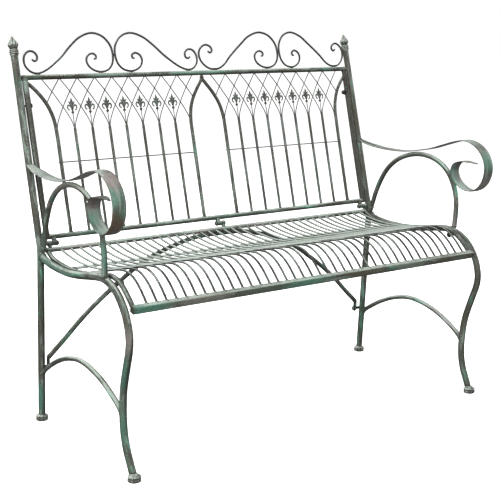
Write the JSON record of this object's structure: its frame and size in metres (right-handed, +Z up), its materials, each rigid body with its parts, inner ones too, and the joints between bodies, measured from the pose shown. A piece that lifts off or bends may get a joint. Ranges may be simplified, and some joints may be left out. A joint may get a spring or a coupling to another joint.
{
  "type": "garden bench",
  "caption": "Garden bench of bent steel tube, strip and wire, with a spindle and lattice back, scrolled armrests, cabriole front legs and a dipped seat of thin rods.",
  "frame": {"origin": "on the ground under the middle of the bounding box", "axes": "+X along the bench's length, towards a sitter's left hand, +Y from the front of the seat to its back, +Z up"},
  "size_m": [1.206, 0.633, 1.0352],
  "materials": {
    "verdigris_paint": "worn matt verdigris paint over dark steel",
    "dark_fixing": "dark painted bolts and lugs"
  },
  "bodies": {
    "root": {"arch_bar_inner_left": "verdigris_paint", "arch_bar_inner_right": "verdigris_paint", "arch_bar_outer_left": "verdigris_paint", "arch_bar_outer_right": "verdigris_paint", "arm_arch_left": "verdigris_paint", "arm_arch_right": "verdigris_paint", "armrest_left": "verdigris_paint", "armrest_right": "verdigris_paint", "back_bottom_rail": "verdigris_paint", "back_stile_left": "verdigris_paint", "back_stile_right": "verdigris_paint", "back_top_rail": "verdigris_paint", "brace_bolt_left": "dark_fixing", "brace_bolt_right": "dark_fixing", "connector_centre": "verdigris_paint", "connector_left": "verdigris_paint", "connector_right": "verdigris_paint", "finial_left": "verdigris_paint", "finial_right": "verdigris_paint", "front_foot_left": "verdigris_paint", "front_foot_right": "verdigris_paint", "front_leg_left": "verdigris_paint", "front_leg_right": "verdigris_paint", "lattice_left": "verdigris_paint", "lattice_right": "verdigris_paint", "post_bolt_left": "dark_fixing", "post_bolt_right": "dark_fixing", "rear_foot_left": "verdigris_paint", "rear_foot_right": "verdigris_paint", "rear_post_left": "verdigris_paint", "rear_post_right": "verdigris_paint", "scroll_left_inner": "verdigris_paint", "scroll_left_outer": "verdigris_paint", "scroll_right_inner": "verdigris_paint", "scroll_right_outer": "verdigris_paint", "seat_back_rail": "verdigris_paint", "seat_brace": "verdigris_paint", "seat_front_rail": "verdigris_paint", "seat_side_rail_left": "verdigris_paint", "seat_side_rail_right": "verdigris_paint", "seat_slats": "verdigris_paint", "side_stretcher_left": "verdigris_paint", "side_stretcher_right": "verdigris_paint", "spindle_1_left": "verdigris_paint", "spindle_1_right": "verdigris_paint", "spindle_2_left": "verdigris_paint", "spindle_2_right": "verdigris_paint", "spindle_3_left": "verdigris_paint", "spindle_3_right": "verdigris_paint", "spindle_4_left": "verdigris_paint", "spindle_4_right": "verdigris_paint", "spindle_5_left": "verdigris_paint", "spindle_5_right": "verdigris_paint", "spindle_6_left": "verdigris_paint", "spindle_6_right": "verdigris_paint", "spindle_7_left": "verdigris_paint", "spindle_7_right": "verdigris_paint", "tie_wire_left": "verdigris_paint", "tie_wire_right": "verdigris_paint"}
  },
  "joints": []
}
